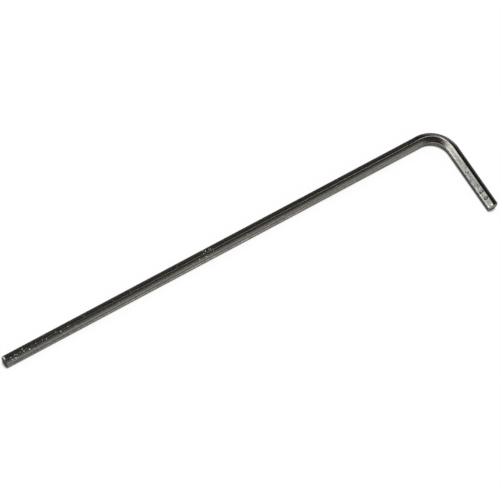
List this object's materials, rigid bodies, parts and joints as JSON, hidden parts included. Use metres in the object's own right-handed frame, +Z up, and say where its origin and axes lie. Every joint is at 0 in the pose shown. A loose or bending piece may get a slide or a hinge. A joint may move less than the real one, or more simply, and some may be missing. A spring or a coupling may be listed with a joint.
{
  "type": "hex key",
  "caption": "L-shaped key bent from rounded-corner hexagon steel bar, with a long arm, a short arm, a smooth bend and chamfered tips.",
  "frame": {"origin": "middle of the key's plan on the surface it lies on, under its two lower corner edges", "axes": "+X along the long arm from its tip to the bend, +Y along the short arm from its tip to the bend, +Z up"},
  "size_m": [0.09, 0.018, 0.0023],
  "materials": {
    "black_oxide_steel": "black oxide, oiled satin"
  },
  "bodies": {
    "root": {"hex_key": "black_oxide_steel"}
  },
  "joints": []
}
